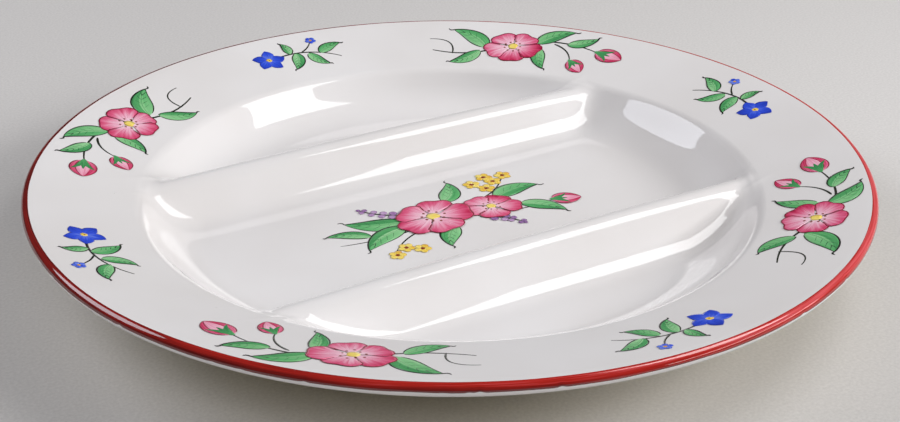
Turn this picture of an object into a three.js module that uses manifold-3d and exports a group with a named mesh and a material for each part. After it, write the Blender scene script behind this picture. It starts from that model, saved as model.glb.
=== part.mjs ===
// A round glazed earthenware relish dish. A wide sloping rim surrounds a well, and two straight ridges part
// the well into three compartments. The turned body, the two ridges and the foot ring are formed apart and
// luted together with slip, and an enamel band is fired on round the lip.
// Millimetres, +Z up. The origin is on the table under the dish's centre, and the ridges run along X.
import * as THREE from "three";
import { mergeVertices } from "three/addons/utils/BufferGeometryUtils.js";
import Module from "manifold-3d";

const wasm = await Module();
wasm.setup();

// Body: the well is measured to the corners that its walls would have if they were sharp.
const dishDiameter = 250;
const footHeight = 2.5;
const floorThickness = 5;
const wellDepth = 11.5;
const rimRise = 7.6;
const wellDiameter = 185;
const wallThickness = 4.5;
const wallAngle = THREE.MathUtils.degToRad(50);
const lipRadius = 1.8;
const wellEdgeRound = 5.8;
const wellCoveRound = 20;
const underEdgeRound = 4;
const underCoveRound = 16;

// Ridges: the crest stays a little under the well's edge, and sinks by the crown towards its ends.
const ridgeSpacing = 87;
const crestDrop = 0.3;
const crestCrown = 0.9;
const crestRound = 5.6;
const ridgeAngle = THREE.MathUtils.degToRad(55);
const ridgeCoveRound = 14;
const lutedEdge = 0.3;
const endGap = 0.3;

// Foot ring: a tapered ring that the dish stands on.
const footDiameter = 144;
const footWidth = 6;
const footTaper = 0.8;
const footRound = 0.6;

// Enamel band: the part of the round lip that it covers, as angles above the lip's outermost line.
const enamelThickness = 0.2;
const bandLow = THREE.MathUtils.degToRad(5);
const bandHigh = THREE.MathUtils.degToRad(98);

// Facets: steps round the dish and along a ridge, and the turn of each step along a rounded corner.
const turnSteps = 72;
const ridgeSteps = 12;
const cornerStep = THREE.MathUtils.degToRad(10);

// Heights and places that follow from the sizes.
const floorTop = footHeight + floorThickness;
const wellEdge = floorTop + wellDepth;
const dishHeight = wellEdge + rimRise;
const ridgeHeight = wellDepth - crestDrop;
const crestHalfLength = Math.sqrt((wellDiameter / 2) ** 2 - (ridgeSpacing / 2) ** 2);
const quarterTurn = Math.PI / 2;
const wellCorner = new THREE.Vector2(wellDiameter / 2, wellEdge);
const lipCentre = new THREE.Vector2(dishDiameter / 2 - lipRadius, dishHeight - lipRadius);

// The rim's top runs from the well's corner to touch the round lip.
const toLip = lipCentre.clone().sub(wellCorner);
const rimAngle = toLip.angle() + Math.asin(lipRadius / toLip.length());
const lipLow = rimAngle - quarterTurn;
const lipHigh = rimAngle + quarterTurn;
const rimUnderStart = pointAt(lipCentre, lipRadius, lipLow);
const rimTopStart = pointAt(lipCentre, lipRadius, lipHigh);

const glaze = new THREE.MeshStandardMaterial({ color: "#e3dfde", roughness: 0.12, metalness: 0 });
const biscuit = new THREE.MeshStandardMaterial({ color: "#dccfbd", roughness: 0.7, metalness: 0 });
const redEnamel = new THREE.MeshStandardMaterial({ color: "#a8271f", roughness: 0.2, metalness: 0 });

// The point at a distance and an angle from another.
function pointAt(from, distance, angle) {
  return new THREE.Vector2(Math.cos(angle), Math.sin(angle)).multiplyScalar(distance).add(from);
}

// The point where a line through p at one angle meets a line through q at another.
function meetingPoint(p, angleP, q, angleQ) {
  const alongP = new THREE.Vector2(Math.cos(angleP), Math.sin(angleP));
  const alongQ = new THREE.Vector2(Math.cos(angleQ), Math.sin(angleQ));
  const distance = q.clone().sub(p).cross(alongQ) / alongP.cross(alongQ);
  return alongP.multiplyScalar(distance).add(p);
}

// Points along an arc, both ends included.
function arcPoints(centre, radius, start, turn) {
  const steps = Math.max(2, Math.ceil(Math.abs(turn) / cornerStep));
  return Array.from({ length: steps + 1 }, (_, i) => pointAt(centre, radius, start + (turn * i) / steps));
}

// The arc that rounds the corner of a line that comes from one point and goes on to another.
function roundedCorner(last, corner, next, radius) {
  const toLast = last.clone().sub(corner).normalize();
  const toNext = next.clone().sub(corner).normalize();
  const half = Math.acos(toLast.dot(toNext)) / 2;
  const reach = radius / Math.tan(half);
  const centre = toLast.clone().add(toNext).setLength(radius / Math.sin(half)).add(corner);
  const start = toLast.multiplyScalar(reach).add(corner).sub(centre);
  const end = toNext.multiplyScalar(reach).add(corner).sub(centre);
  return arcPoints(centre, radius, start.angle(), Math.atan2(start.cross(end), start.dot(end)));
}

// A solid of revolution about Z. Its outline lists radius and height, with the material on its left.
function turned(outline) {
  return new THREE.LatheGeometry(outline, turnSteps).rotateX(quarterTurn);
}

// A closed geometry as a solid that can be cut.
function solidOf(geometry) {
  const bare = new THREE.BufferGeometry().setAttribute("position", geometry.getAttribute("position"));
  bare.setIndex(geometry.index);
  const { attributes, index } = mergeVertices(bare);
  return new wasm.Manifold(
    new wasm.Mesh({
      numProp: 3,
      vertProperties: attributes.position.array,
      triVerts: new Uint32Array(index.array),
    }),
  );
}

// A cut solid as a geometry again.
function geometryOf(solid) {
  const { vertProperties, triVerts } = solid.getMesh();
  const geometry = new THREE.BufferGeometry();
  geometry.setAttribute("position", new THREE.BufferAttribute(vertProperties, 3));
  geometry.setIndex(new THREE.BufferAttribute(triVerts, 1));
  geometry.computeVertexNormals();
  return geometry;
}

function namedMesh(name, geometry, material) {
  const mesh = new THREE.Mesh(geometry, material);
  mesh.name = name;
  return mesh;
}

// The well's side from the rim down to the floor, drawn in by a gap square to its surface.
function wellSide(gap) {
  const shift = (point, angle) => pointAt(point, gap, angle + quarterTurn);
  const rimStart = shift(rimTopStart, rimAngle);
  const edge = meetingPoint(rimStart, rimAngle, shift(wellCorner, wallAngle), wallAngle);
  const floorCentre = new THREE.Vector2(0, floorTop + gap);
  const cove = meetingPoint(edge, wallAngle, floorCentre, 0);
  return [
    ...roundedCorner(rimStart, edge, cove, wellEdgeRound + gap),
    ...roundedCorner(edge, cove, floorCentre, wellCoveRound - gap),
  ];
}

// The underside: a flat base, a wall alongside the well's wall, and a rim as thick as the lip.
function underSide() {
  const wallPoint = pointAt(wellCorner, wallThickness, wallAngle - quarterTurn);
  const baseCentre = new THREE.Vector2(0, footHeight);
  const baseCorner = meetingPoint(wallPoint, wallAngle, baseCentre, 0);
  const rimCorner = meetingPoint(wallPoint, wallAngle, rimUnderStart, rimAngle);
  return [
    baseCentre,
    ...roundedCorner(baseCentre, baseCorner, rimCorner, underCoveRound),
    ...roundedCorner(baseCorner, rimCorner, rimUnderStart, underEdgeRound),
  ];
}

// The lip under the enamel band is cut back by the band's thickness, so that the two lie flush.
const bandSeat = arcPoints(lipCentre, lipRadius - enamelThickness, bandLow, bandHigh - bandLow);

function dishBody() {
  const lipBelowBand = arcPoints(lipCentre, lipRadius, lipLow, bandLow - lipLow);
  const lipAboveBand = arcPoints(lipCentre, lipRadius, bandHigh, lipHigh - bandHigh);
  const outline = [
    ...underSide(),
    ...lipBelowBand,
    ...bandSeat,
    ...lipAboveBand,
    ...wellSide(0),
    new THREE.Vector2(0, floorTop),
  ];
  return namedMesh("dish_body", turned(outline), glaze);
}

function edgeBand() {
  const face = arcPoints(lipCentre, lipRadius, bandLow, bandHigh - bandLow);
  const outline = [...face, ...bandSeat.toReversed(), face[0]];
  return namedMesh("edge_band", turned(outline), redEnamel);
}

function footRing() {
  const outer = footDiameter / 2;
  const inner = outer - footWidth;
  const topOuter = new THREE.Vector2(outer, footHeight);
  const topInner = new THREE.Vector2(inner, footHeight);
  const lowOuter = new THREE.Vector2(outer - footTaper, 0);
  const lowInner = new THREE.Vector2(inner + footTaper, 0);
  const outline = [
    topInner,
    ...roundedCorner(topInner, lowInner, lowOuter, footRound),
    ...roundedCorner(lowInner, lowOuter, topOuter, footRound),
    topOuter,
    topInner,
  ];
  return namedMesh("foot_ring", turned(outline), biscuit);
}

// A ridge's section across its length, standing on the floor: a round crest, straight flanks, and coves
// at the foot.
function ridgeSection() {
  const apex = new THREE.Vector2(0, ridgeHeight + crestRound / Math.cos(ridgeAngle) - crestRound);
  const halfFoot = (apex.y - lutedEdge) / Math.tan(ridgeAngle);
  const reach = halfFoot + ridgeCoveRound * Math.tan(ridgeAngle / 2);
  const rightFoot = new THREE.Vector2(halfFoot, lutedEdge);
  const leftFoot = new THREE.Vector2(-halfFoot, lutedEdge);
  const rightEnd = new THREE.Vector2(reach, lutedEdge);
  const leftEnd = new THREE.Vector2(-reach, lutedEdge);
  return new THREE.Shape([
    new THREE.Vector2(-reach, 0),
    new THREE.Vector2(reach, 0),
    ...roundedCorner(rightEnd, rightFoot, apex, ridgeCoveRound),
    ...roundedCorner(rightFoot, apex, leftFoot, crestRound),
    ...roundedCorner(apex, leftFoot, leftEnd, ridgeCoveRound),
  ]);
}

// The space inside the well that a ridge's ends are cut to, a small gap in from the wall.
function wellSpace() {
  const side = wellSide(endGap);
  const mouth = side[0];
  const foot = side[side.length - 1];
  const underFloor = floorTop - floorThickness;
  return turned([
    new THREE.Vector2(0, underFloor),
    new THREE.Vector2(foot.x, underFloor),
    ...side.toReversed(),
    new THREE.Vector2(mouth.x, dishHeight),
    new THREE.Vector2(0, dishHeight),
  ]);
}

// Lowers a bar that lies along X towards its ends, in proportion to the height above the floor.
function crown(bar) {
  const places = bar.getAttribute("position");
  for (let i = 0; i < places.count; i += 1) {
    const sink = (crestCrown / ridgeHeight) * (places.getX(i) / crestHalfLength) ** 2;
    places.setZ(i, places.getZ(i) * (1 - sink));
  }
}

// One ridge, lying on the floor along X, with its ends shaped to the well's wall.
function ridgeGeometry() {
  const bar = new THREE.ExtrudeGeometry(ridgeSection(), {
    depth: wellDiameter,
    steps: ridgeSteps,
    bevelEnabled: false,
  });
  bar.translate(0, 0, -wellDiameter / 2);
  const acrossUpAlong = new THREE.Matrix4().makeBasis(
    new THREE.Vector3(0, 1, 0),
    new THREE.Vector3(0, 0, 1),
    new THREE.Vector3(1, 0, 0),
  );
  bar.applyMatrix4(acrossUpAlong);
  crown(bar);
  const space = wellSpace().translate(0, -ridgeSpacing / 2, -floorTop);
  return geometryOf(solidOf(bar).intersect(solidOf(space)));
}

function dividers() {
  const geometry = ridgeGeometry();
  const back = namedMesh("back_divider", geometry, glaze);
  back.position.set(0, ridgeSpacing / 2, floorTop);
  const front = namedMesh("front_divider", geometry, glaze);
  front.position.set(0, -ridgeSpacing / 2, floorTop);
  front.rotation.z = Math.PI;
  return [back, front];
}

const relishDish = new THREE.Group();
relishDish.add(dishBody(), ...dividers(), footRing(), edgeBand());

export default relishDish;
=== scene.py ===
"""A glazed earthenware relish dish: two ridges part its well, and sprays of flowers are painted on the glaze.

Metres, +Z up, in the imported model's frame. The ridges run along X, and the dish stands on the floor at z = 0.
"""
import functools
import logging
import math
from dataclasses import dataclass, field
from enum import Enum
from typing import Protocol

import bpy
import numpy as np
from mathutils import Matrix, Quaternion, Vector


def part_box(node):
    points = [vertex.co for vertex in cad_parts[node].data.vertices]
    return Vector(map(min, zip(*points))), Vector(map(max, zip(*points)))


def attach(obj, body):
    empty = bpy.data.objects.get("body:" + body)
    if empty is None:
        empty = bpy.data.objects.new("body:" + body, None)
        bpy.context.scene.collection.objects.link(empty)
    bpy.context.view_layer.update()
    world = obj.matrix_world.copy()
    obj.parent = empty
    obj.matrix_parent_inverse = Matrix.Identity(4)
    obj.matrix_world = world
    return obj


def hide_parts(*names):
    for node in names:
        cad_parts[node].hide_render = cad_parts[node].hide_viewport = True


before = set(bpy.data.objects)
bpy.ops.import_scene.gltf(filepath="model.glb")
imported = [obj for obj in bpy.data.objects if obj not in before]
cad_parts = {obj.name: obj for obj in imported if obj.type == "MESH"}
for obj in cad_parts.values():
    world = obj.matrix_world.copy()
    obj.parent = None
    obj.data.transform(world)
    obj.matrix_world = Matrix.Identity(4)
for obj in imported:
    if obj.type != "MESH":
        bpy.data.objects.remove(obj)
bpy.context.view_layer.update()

LOG = logging.getLogger("relish_dish")
BODY = "root"
MM = 0.001
FULL_TURN = 2.0 * math.pi
QUARTER_TURN = 0.5 * math.pi
FEWEST_ARC_POINTS = 3

# What the meshes carry for the shaders
BRUSH_MAP = "brush"
STROKE = "stroke"
ACROSS = "across"
UNDER = "under"

Colour = tuple[int, int, int]
Stops = tuple[tuple[float, Colour], ...]
Point = tuple[float, float]
Span = tuple[float, float]
Socket = bpy.types.NodeSocket


# Curves in a plane

def at_angle(origin: Point | np.ndarray, distance: float, angle: float) -> np.ndarray:
    """The point at a distance and an angle from another."""
    return np.asarray(origin, dtype=float) + distance * np.array((math.cos(angle), math.sin(angle)))


def meeting_point(p: np.ndarray, angle_p: float, q: np.ndarray, angle_q: float) -> np.ndarray:
    """Finds where two lines cross.

    Args:
        p: A point on the first line.
        angle_p: The first line's angle in radians.
        q: A point on the second line.
        angle_q: The second line's angle in radians.

    Returns:
        The crossing point.
    """
    along_p = at_angle((0.0, 0.0), 1.0, angle_p)
    along_q = at_angle((0.0, 0.0), 1.0, angle_q)
    gap = q - p
    cross = along_p[0] * along_q[1] - along_p[1] * along_q[0]
    return p + along_p * (gap[0] * along_q[1] - gap[1] * along_q[0]) / cross


def arc(centre: np.ndarray, radius: float, start: float, turn: float, step: float) -> np.ndarray:
    """Points on a circle, C + R (cos a, sin a), as a goes from start through a turn.

    Args:
        centre: The circle's centre.
        radius: The circle's radius.
        start: The first angle in radians.
        turn: The signed angle that the arc covers.
        step: The largest angle between two points.

    Returns:
        Points as rows, both ends among them.
    """
    count = max(FEWEST_ARC_POINTS, math.ceil(abs(turn) / step) + 1)
    angles = start + turn * np.linspace(0.0, 1.0, count)
    return centre + radius * np.stack((np.cos(angles), np.sin(angles)), axis=1)


def rounded_corner(last: np.ndarray, corner: np.ndarray, after: np.ndarray, radius: float,
                   step: float) -> np.ndarray:
    """The arc that touches both sides of a corner, which rounds it to a radius.

    Args:
        last: A point on the side that comes to the corner.
        corner: The sharp corner.
        after: A point on the side that leaves the corner.
        radius: The round's radius.
        step: The largest angle between two points.

    Returns:
        Points as rows, from one touching point to the other.
    """
    to_last = (last - corner) / np.linalg.norm(last - corner)
    to_next = (after - corner) / np.linalg.norm(after - corner)
    half = 0.5 * math.acos(float(to_last @ to_next))
    middle = (to_last + to_next) / np.linalg.norm(to_last + to_next)
    centre = corner + middle * radius / math.sin(half)
    start = corner + to_last * radius / math.tan(half) - centre
    end = corner + to_next * radius / math.tan(half) - centre
    turn = math.atan2(start[0] * end[1] - start[1] * end[0], float(start @ end))
    return arc(centre, radius, math.atan2(start[1], start[0]), turn, step)


def refined(outline: np.ndarray, longest: float, crowding: float = 3.0) -> np.ndarray:
    """Adds points along an outline's long straight parts, so that its shading stays true.

    Args:
        outline: Points as rows.
        longest: The largest length left between two points.
        crowding: How many times nearer than that a new point may come to an old one.

    Returns:
        The old points and the new ones, in order along the outline.
    """
    lengths = np.linalg.norm(np.diff(outline, axis=0), axis=1)
    knots = np.concatenate(([0.0], np.cumsum(lengths)))
    extra = np.arange(0.0, knots[-1], longest)
    apart = np.abs(extra[:, None] - knots[None, :]).min(axis=1)
    stops = np.union1d(knots, extra[apart > longest / crowding])
    return np.stack([np.interp(stops, knots, outline[:, axis]) for axis in (0, 1)], axis=1)


def smooth_step(value: np.ndarray, low: float, high: float) -> np.ndarray:
    """Goes from 0 at low to 1 at high as 3u^2 - 2u^3."""
    share = np.clip((value - low) / (high - low), 0.0, 1.0)
    return share * share * (3.0 - 2.0 * share)


def smooth_max(first: np.ndarray, second: np.ndarray, reach: np.ndarray) -> np.ndarray:
    """The larger of two heights plus reach h^3 / 6, with h falling from 1 where they meet to 0 at a reach."""
    share = np.maximum(reach - np.abs(first - second), 0.0) / reach
    return np.maximum(first, second) + reach * share**3 / 6.0


# Meshes from arrays

def grid_quads(index: np.ndarray) -> np.ndarray:
    """Four-cornered faces between the neighbours of a grid of vertex numbers, anticlockwise from above."""
    corners = (index[:-1, :-1], index[1:, :-1], index[1:, 1:], index[:-1, 1:])
    return np.stack(corners, axis=-1).reshape(-1, 4)


def new_piece(name: str, places: np.ndarray, faces: list[np.ndarray], material: bpy.types.Material,
              stands_for: str | None = None) -> bpy.types.Object:
    """Makes a smooth-shaded piece of the dish that rides on its one body.

    Args:
        name: The piece's name.
        places: Vertex places as rows, in metres.
        faces: Arrays of vertex numbers, one array for each number of corners.
        material: The piece's finish.
        stands_for: The model's node that the piece replaces, if any.

    Returns:
        The new object.
    """
    mesh = bpy.data.meshes.new(name)
    corners = np.concatenate([group.ravel() for group in faces])
    counts = np.concatenate([np.full(len(group), group.shape[1]) for group in faces])
    starts = np.cumsum(counts) - counts
    mesh.vertices.add(len(places))
    mesh.vertices.foreach_set("co", places.astype(np.float32).ravel())
    mesh.loops.add(len(corners))
    mesh.loops.foreach_set("vertex_index", corners.astype(np.int32))
    mesh.polygons.add(len(counts))
    mesh.polygons.foreach_set("loop_start", starts.astype(np.int32))
    mesh.update(calc_edges=True)
    mesh.shade_smooth()
    mesh.materials.append(material)
    piece = bpy.data.objects.new(name, mesh)
    bpy.context.scene.collection.objects.link(piece)
    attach(piece, BODY)
    if stands_for:
        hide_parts(stands_for)
    return piece


def hold(piece: bpy.types.Object, name: str, values: np.ndarray) -> None:
    """Gives each vertex of a piece a number, which shaders read by its name."""
    held = piece.data.attributes.new(name, "FLOAT", "POINT")
    held.data.foreach_set("value", values.astype(np.float32))


def turned_grid(outline: np.ndarray, steps: int) -> np.ndarray:
    """Turns an outline of radius r and height z about Z: P(i, a) = (r cos a, r sin a, z).

    Args:
        outline: Radius and height as rows.
        steps: Steps in a full turn.

    Returns:
        Places as a grid, along the outline and then round.
    """
    angles = np.linspace(0.0, FULL_TURN, steps, endpoint=False)
    radius = outline[:, :1]
    height = np.broadcast_to(outline[:, 1:], (len(outline), steps))
    return np.stack((radius * np.cos(angles), radius * np.sin(angles), height), axis=-1)


def ring_faces(rows: int, steps: int, closed: bool) -> np.ndarray:
    """Faces of a turned grid, with the outline's material on its left.

    Args:
        rows: Points of the outline.
        steps: Steps in a full turn.
        closed: Whether the outline's last point joins its first.

    Returns:
        Four-cornered faces.
    """
    index = np.arange(rows * steps).reshape(rows, steps)
    index = np.concatenate((index, index[:, :1]), axis=1)
    if closed:
        index = np.concatenate((index, index[:1]), axis=0)
    return grid_quads(index)[:, ::-1]


def closed_sheet(top: np.ndarray, low: np.ndarray) -> tuple[np.ndarray, np.ndarray]:
    """Joins a top grid and a low grid into one closed skin that shares the top grid's border.

    Args:
        top: Places of the upper side, as a grid.
        low: Places of the under side, on the same grid.

    Returns:
        Vertex places as rows, and four-cornered faces.
    """
    rows, columns = top.shape[:2]
    top_index = np.arange(rows * columns).reshape(rows, columns)
    low_index = top_index.copy()
    inner = (rows - 2, columns - 2)
    low_index[1:-1, 1:-1] = rows * columns + np.arange(inner[0] * inner[1]).reshape(inner)
    places = np.concatenate((top.reshape(-1, 3), low[1:-1, 1:-1].reshape(-1, 3)))
    return places, np.concatenate((grid_quads(top_index), grid_quads(low_index)[:, ::-1]))


# Shader nodes

def linear(colour: Colour) -> tuple[float, float, float, float]:
    """A display colour as linear light: a straight line for the darkest shades, and a power above them.

    Args:
        colour: Red, green and blue from 0 to 255.

    Returns:
        Red, green and blue from 0 to 1, and full alpha.
    """
    brightest, knee, slope, offset, power = 255.0, 0.04045, 12.92, 0.055, 2.4
    share = np.asarray(colour) / brightest
    light = np.where(share <= knee, share / slope, ((share + offset) / (1.0 + offset)) ** power)
    return (float(light[0]), float(light[1]), float(light[2]), 1.0)


class NodeGraph:
    """Adds nodes to one node tree and joins them."""

    # The mean of a noise texture
    NOISE_MEAN = 0.5
    # A Mix node's sockets for colours, by number because their names repeat
    MIX_FIRST, MIX_SECOND, MIX_RESULT = 6, 7, 2

    def __init__(self, tree: bpy.types.NodeTree) -> None:
        """Keeps the tree and clears it."""
        self.tree = tree
        tree.nodes.clear()

    def add(self, kind: str, inputs: dict | None = None, **settings: object) -> bpy.types.Node:
        """Adds a node.

        Args:
            kind: The node's type.
            inputs: For each input by name or number, a value to set or a socket to join to it.
            settings: The node's own properties.

        Returns:
            The new node.
        """
        node = self.tree.nodes.new(kind)
        for name, value in settings.items():
            setattr(node, name, value)
        for name, value in (inputs or {}).items():
            if isinstance(value, Socket):
                self.tree.links.new(value, node.inputs[name])
            else:
                node.inputs[name].default_value = value
        return node

    def place(self) -> Socket:
        """Adds the piece's own coordinates."""
        return self.add("ShaderNodeTexCoord").outputs["Object"]

    def held(self, name: str, output: str) -> Socket:
        """Adds what the mesh holds under a name, as one of the node's outputs."""
        return self.add("ShaderNodeAttribute", attribute_name=name).outputs[output]

    def parts(self, vector: Socket) -> tuple[Socket, ...]:
        """Parts a vector into its X, Y and Z."""
        return tuple(self.add("ShaderNodeSeparateXYZ", {0: vector}).outputs)

    def calc(self, kind: str, first: object, second: object = 0.0) -> Socket:
        """Adds a Math node of a kind on one or two values or sockets."""
        return self.add("ShaderNodeMath", {0: first, 1: second}, operation=kind).outputs[0]

    def dot(self, vector: Socket, direction: tuple[float, float, float]) -> Socket:
        """Adds how far a vector reaches in a direction."""
        node = self.add("ShaderNodeVectorMath", {0: vector, 1: direction}, operation="DOT_PRODUCT")
        return node.outputs["Value"]

    def total(self, *shares: object) -> Socket:
        """Adds up values or sockets."""
        return functools.reduce(functools.partial(self.calc, "ADD"), shares)

    def noise(self, place: Socket, scale: object, detail: float) -> Socket:
        """Adds a noise texture, whose value wanders about its mean."""
        inputs = {"Vector": place, "Scale": scale, "Detail": detail}
        return self.add("ShaderNodeTexNoise", inputs).outputs["Fac"]

    def swing(self, noise: Socket, size: object) -> Socket:
        """Makes a noise swing about 0 by a size."""
        return self.calc("MULTIPLY", self.calc("SUBTRACT", noise, self.NOISE_MEAN), size)

    def ramp(self, factor: Socket, stops: Stops) -> Socket:
        """Adds a colour ramp.

        Args:
            factor: The value that the ramp reads.
            stops: Each stop's place from 0 to 1 and its display colour.

        Returns:
            The ramp's colour.
        """
        node = self.add("ShaderNodeValToRGB", {"Fac": factor})
        elements = node.color_ramp.elements
        while len(elements) < len(stops):
            elements.new(1.0)
        for element, (place, colour) in zip(elements, stops):
            element.position = place
            element.color = linear(colour)
        return node.outputs["Color"]

    def mix(self, share: Socket, first: Socket, second: Colour) -> Socket:
        """Goes from a colour to a plain display colour as a share goes from 0 to 1."""
        inputs = {"Factor": share, self.MIX_FIRST: first, self.MIX_SECOND: linear(second)}
        return self.add("ShaderNodeMix", inputs, data_type="RGBA").outputs[self.MIX_RESULT]

    def surface(self, inputs: dict) -> None:
        """Ends a material with a Principled shader of the given inputs."""
        shader = self.add("ShaderNodeBsdfPrincipled", inputs)
        self.add("ShaderNodeOutputMaterial", {"Surface": shader.outputs[0]})


def new_group(name: str, value_in: str, value_out: str) -> tuple[NodeGraph, Socket, Socket]:
    """Starts a shader node group of one value in and one value out.

    Args:
        name: The group's name.
        value_in: The input's name.
        value_out: The output's name.

    Returns:
        The group's graph, the socket that gives its input and the socket that takes its output.
    """
    tree = bpy.data.node_groups.new(name, "ShaderNodeTree")
    tree.interface.new_socket(value_in, in_out="INPUT", socket_type="NodeSocketFloat")
    tree.interface.new_socket(value_out, in_out="OUTPUT", socket_type="NodeSocketFloat")
    graph = NodeGraph(tree)
    inside = graph.add("NodeGroupInput").outputs[value_in]
    return graph, inside, graph.add("NodeGroupOutput").inputs[value_out]


@functools.cache
def fired_ripple_group() -> bpy.types.NodeTree:
    """The slow unevenness of a fired coat: noise on Object coordinates, as a height from 0 to 1.

    Returns:
        The group, which is built once.
    """
    ripple_detail = 1.0
    graph, waves_per_metre, height = new_group("fired_ripple", "Waves per Metre", "Height")
    graph.tree.links.new(graph.noise(graph.place(), waves_per_metre, ripple_detail), height)
    return graph.tree


@functools.cache
def brush_load_group() -> bpy.types.NodeTree:
    """How thickly the paint lies along a brush stroke.

    The load is the stroke's tone, plus its blend times the way along it, plus streaks that run along it. The
    stroke attribute holds the tone, the blend and a number that makes each stroke's streaks its own.

    Returns:
        The group, which is built once.
    """
    waves_along, waves_across, streak_detail = 1.6, 9.0, 2.0
    graph, streak, load = new_group("brush_load", "Streak", "Load")
    along, across, _ = graph.parts(graph.add("ShaderNodeUVMap", uv_map=BRUSH_MAP).outputs[0])
    tone, blend, own = graph.parts(graph.held(STROKE, "Vector"))
    place = graph.add("ShaderNodeCombineXYZ", {
        "X": graph.calc("MULTIPLY", along, waves_along),
        "Y": graph.calc("MULTIPLY", across, waves_across),
        "Z": own,
    }).outputs[0]
    streaks = graph.swing(graph.noise(place, 1.0, streak_detail), streak)
    graph.tree.links.new(graph.total(tone, graph.calc("MULTIPLY", blend, along), streaks), load)
    return graph.tree


# Finishes

CREAM_GLAZE: Colour = (222, 214, 184)


@dataclass(frozen=True)
class Coat:
    """What every fired coat on the dish shares: a gloss and a slow unevenness."""

    roughness: float
    ripple_depth: float
    waves_per_metre: float
    refraction: float = 1.62

    def dress(self, graph: NodeGraph, colour: Socket) -> None:
        """Ends a material with the glossy shader and its uneven surface.

        Args:
            graph: The material's graph.
            colour: The coat's colour.
        """
        wave = graph.add("ShaderNodeGroup", node_tree=fired_ripple_group())
        wave.inputs[0].default_value = self.waves_per_metre
        bump = graph.add("ShaderNodeBump", {"Height": wave.outputs[0], "Distance": self.ripple_depth})
        graph.surface({
            "Base Color": colour,
            "Roughness": self.roughness,
            "IOR": self.refraction,
            "Normal": bump.outputs["Normal"],
        })


def new_material(name: str) -> tuple[bpy.types.Material, NodeGraph]:
    """Starts a material of nodes.

    Args:
        name: The material's name.

    Returns:
        The material and its empty graph.
    """
    material = bpy.data.materials.new(name)
    material.use_nodes = True
    return material, NodeGraph(material.node_tree)


@dataclass(frozen=True)
class GlazeFinish:
    """A milk-white glaze with a faint drift of colour and a few specks, and cream on the under side."""

    pale: Colour = (232, 229, 229)
    warm: Colour = (227, 223, 222)
    cream: Colour = CREAM_GLAZE
    speck: Colour = (120, 104, 92)
    drift_per_metre: float = 22.0
    drift_detail: float = 2.0
    drift_low: float = 0.35
    drift_high: float = 0.65
    specks_per_metre: float = 62.0
    speck_size: float = 0.016
    speck_share: float = 0.93
    coat: Coat = Coat(roughness=0.035, ripple_depth=0.015 * MM, waves_per_metre=45.0)

    def material(self) -> bpy.types.Material:
        """Builds the material. A speck lies at the heart of a few of the cells that part the glaze.

        Returns:
            The new material.
        """
        material, graph = new_material("white_glaze")
        place = graph.place()
        drift = graph.noise(place, self.drift_per_metre, self.drift_detail)
        white = graph.ramp(drift, ((self.drift_low, self.pale), (self.drift_high, self.warm)))
        cells = graph.add("ShaderNodeTexVoronoi", {"Vector": place, "Scale": self.specks_per_metre})
        chance = graph.add("ShaderNodeSeparateColor", {0: cells.outputs["Color"]}).outputs[0]
        near = graph.calc("LESS_THAN", cells.outputs["Distance"], self.speck_size)
        spot = graph.calc("MULTIPLY", near, graph.calc("GREATER_THAN", chance, self.speck_share))
        under = graph.held(UNDER, "Fac")
        self.coat.dress(graph, graph.mix(spot, graph.mix(under, white, self.cream), self.speck))
        return material


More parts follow.
